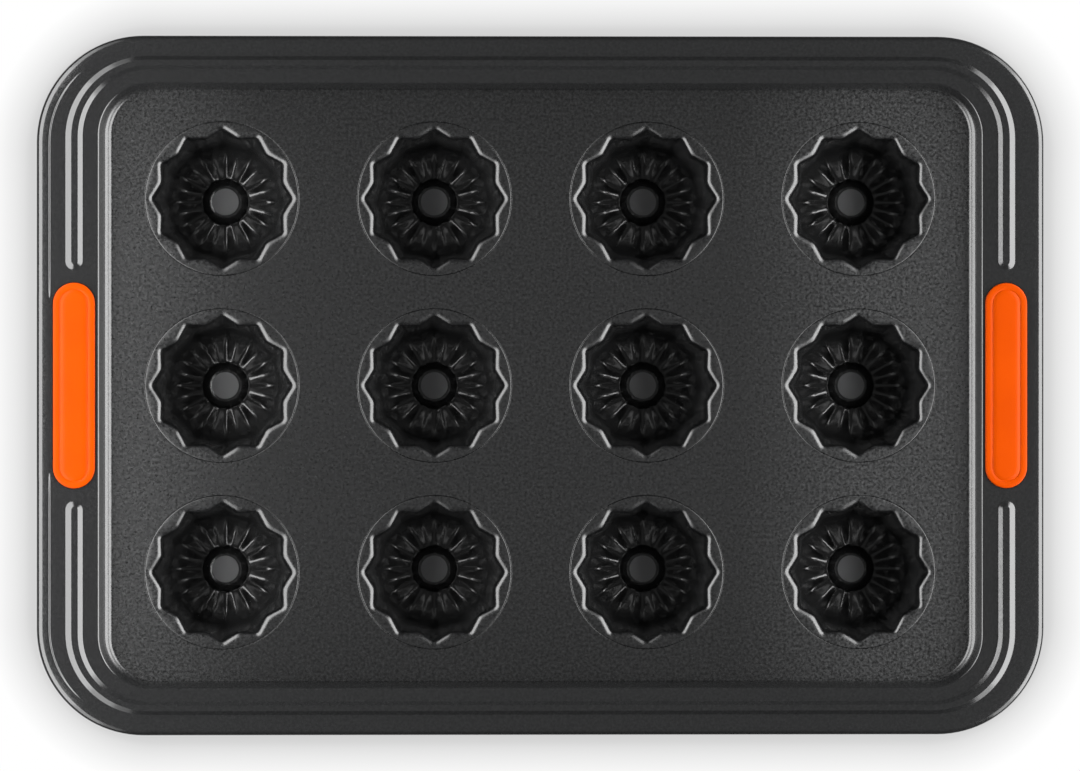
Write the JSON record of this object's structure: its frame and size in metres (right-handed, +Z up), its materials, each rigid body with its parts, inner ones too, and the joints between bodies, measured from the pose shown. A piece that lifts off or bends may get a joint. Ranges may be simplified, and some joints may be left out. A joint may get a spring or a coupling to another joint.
{
  "type": "canele pan",
  "caption": "Baking pan for caneles: a rectangular non-stick steel tray with a rolled rim, fluted tapered cups set in its sunken deck, and a silicone grip on each side flange.",
  "frame": {"origin": "centre of the pan's outline, on the surface that the cups' feet stand on", "axes": "+X along the pan's length towards the right-hand grip, +Y across its width, +Z up out of the cups' mouths"},
  "size_m": [0.4004, 0.2778, 0.0551],
  "materials": {
    "nonstick_coating": "dark grey non-stick coating with a fine speckle, half gloss",
    "steel_wire": "drawn steel wire, bare",
    "orange_silicone": "smooth moulded silicone, satin"
  },
  "bodies": {
    "root": {"tray_sheet": "nonstick_coating", "rim_wire": "steel_wire", "cup_row1_col1": "nonstick_coating", "cup_row1_col2": "nonstick_coating", "cup_row1_col3": "nonstick_coating", "cup_row1_col4": "nonstick_coating", "cup_row2_col1": "nonstick_coating", "cup_row2_col2": "nonstick_coating", "cup_row2_col3": "nonstick_coating", "cup_row2_col4": "nonstick_coating", "cup_row3_col1": "nonstick_coating", "cup_row3_col2": "nonstick_coating", "cup_row3_col3": "nonstick_coating", "cup_row3_col4": "nonstick_coating", "grip_left": "orange_silicone", "grip_right": "orange_silicone"}
  },
  "joints": []
}
